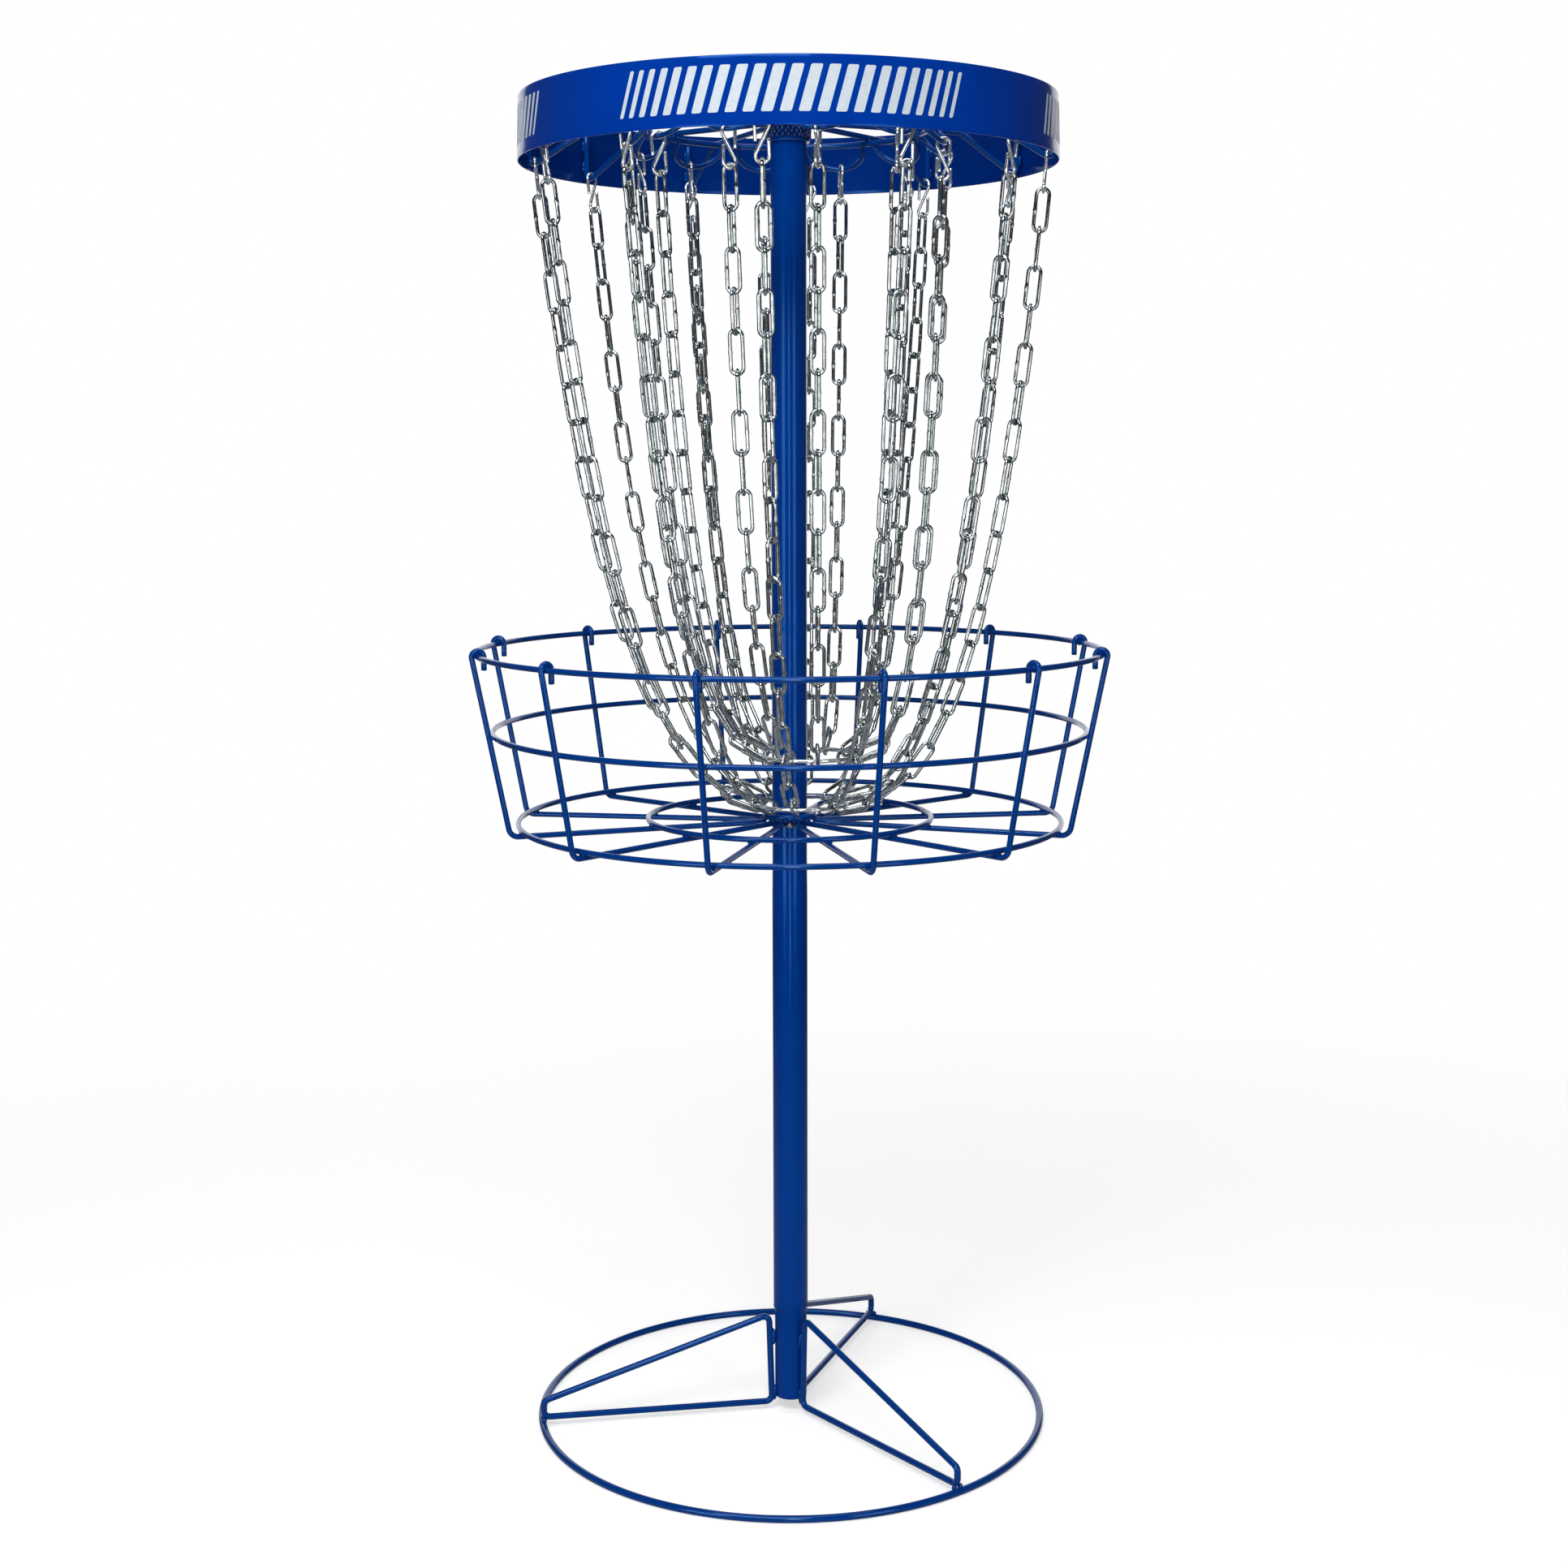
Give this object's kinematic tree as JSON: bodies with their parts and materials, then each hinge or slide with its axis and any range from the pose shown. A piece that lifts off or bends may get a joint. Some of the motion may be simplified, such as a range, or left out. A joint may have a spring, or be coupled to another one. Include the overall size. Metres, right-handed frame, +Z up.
{
  "type": "disc golf basket",
  "caption": "Portable disc golf basket: wire foot with a ring, pole, wire catching basket, sheet band and two tiers of hanging chain.",
  "frame": {"origin": "on the floor at the middle of the foot ring, on the pole's axis", "axes": "+Z up along the pole; the view of the picture looks along +Y, so -Y is the front and +X is the viewer's right"},
  "size_m": [0.667, 0.667, 1.4072],
  "materials": {
    "blue_powder_coat": "gloss",
    "zinc": "bright"
  },
  "bodies": {
    "foot": {"base_ring": "blue_powder_coat", "base_stub": "blue_powder_coat", "base_leg_1": "blue_powder_coat", "base_leg_2": "blue_powder_coat", "base_leg_3": "blue_powder_coat"},
    "pole_body": {"pole": "blue_powder_coat", "basket_bolt": "zinc", "basket_bolt_nut": "zinc"},
    "basket": {"basket_collar": "blue_powder_coat", "basket_wire_01": "blue_powder_coat", "basket_wire_02": "blue_powder_coat", "basket_wire_03": "blue_powder_coat", "basket_wire_04": "blue_powder_coat", "basket_wire_05": "blue_powder_coat", "basket_wire_06": "blue_powder_coat", "basket_wire_07": "blue_powder_coat", "basket_wire_08": "blue_powder_coat", "basket_wire_09": "blue_powder_coat", "basket_wire_10": "blue_powder_coat", "basket_wire_11": "blue_powder_coat", "basket_wire_12": "blue_powder_coat", "basket_rim_ring": "blue_powder_coat", "basket_middle_ring": "blue_powder_coat", "basket_floor_ring": "blue_powder_coat", "basket_inner_ring": "blue_powder_coat"},
    "top": {"top_band": "blue_powder_coat", "top_spider": "blue_powder_coat", "inner_hanger_ring": "blue_powder_coat", "outer_chain_01": "zinc", "outer_chain_02": "zinc", "outer_chain_03": "zinc", "outer_chain_04": "zinc", "outer_chain_05": "zinc", "outer_chain_06": "zinc", "outer_chain_07": "zinc", "outer_chain_08": "zinc", "outer_chain_09": "zinc", "outer_chain_10": "zinc", "outer_chain_11": "zinc", "outer_chain_12": "zinc", "inner_chain_01": "zinc", "inner_chain_02": "zinc", "inner_chain_03": "zinc", "inner_chain_04": "zinc", "inner_chain_05": "zinc", "inner_chain_06": "zinc", "inner_chain_07": "zinc", "inner_chain_08": "zinc", "inner_chain_09": "zinc", "inner_chain_10": "zinc", "inner_chain_11": "zinc", "inner_chain_12": "zinc"},
    "outer_ring": {"outer_chain_ring": "zinc"},
    "inner_ring": {"inner_chain_ring": "zinc"}
  },
  "joints": [
    {"name": "pole_lift", "type": "slide", "parent": "foot", "child": "pole_body", "axis": [0, 0, 1], "range_m": [0, 0.1]},
    {"name": "basket_turn", "type": "hinge", "parent": "pole_body", "child": "basket", "pos_m": [0, 0, 0.66], "axis": [0, 0, 1], "continuous": true},
    {"name": "top_lift", "type": "slide", "parent": "pole_body", "child": "top", "axis": [0, 0, 1], "range_m": [0, 0.05]},
    {"name": "outer_ring_lift", "type": "slide", "parent": "top", "child": "outer_ring", "axis": [0, 0, 1], "range_m": [0, 0.025], "deforming": ["outer_chain_01", "outer_chain_02", "outer_chain_03", "outer_chain_04", "outer_chain_05", "outer_chain_06", "outer_chain_07", "outer_chain_08", "outer_chain_09", "outer_chain_10", "outer_chain_11", "outer_chain_12"]},
    {"name": "inner_ring_lift", "type": "slide", "parent": "top", "child": "inner_ring", "axis": [0, 0, 1], "range_m": [0, 0.04], "deforming": ["inner_chain_01", "inner_chain_02", "inner_chain_03", "inner_chain_04", "inner_chain_05", "inner_chain_06", "inner_chain_07", "inner_chain_08", "inner_chain_09", "inner_chain_10", "inner_chain_11", "inner_chain_12"]}
  ]
}
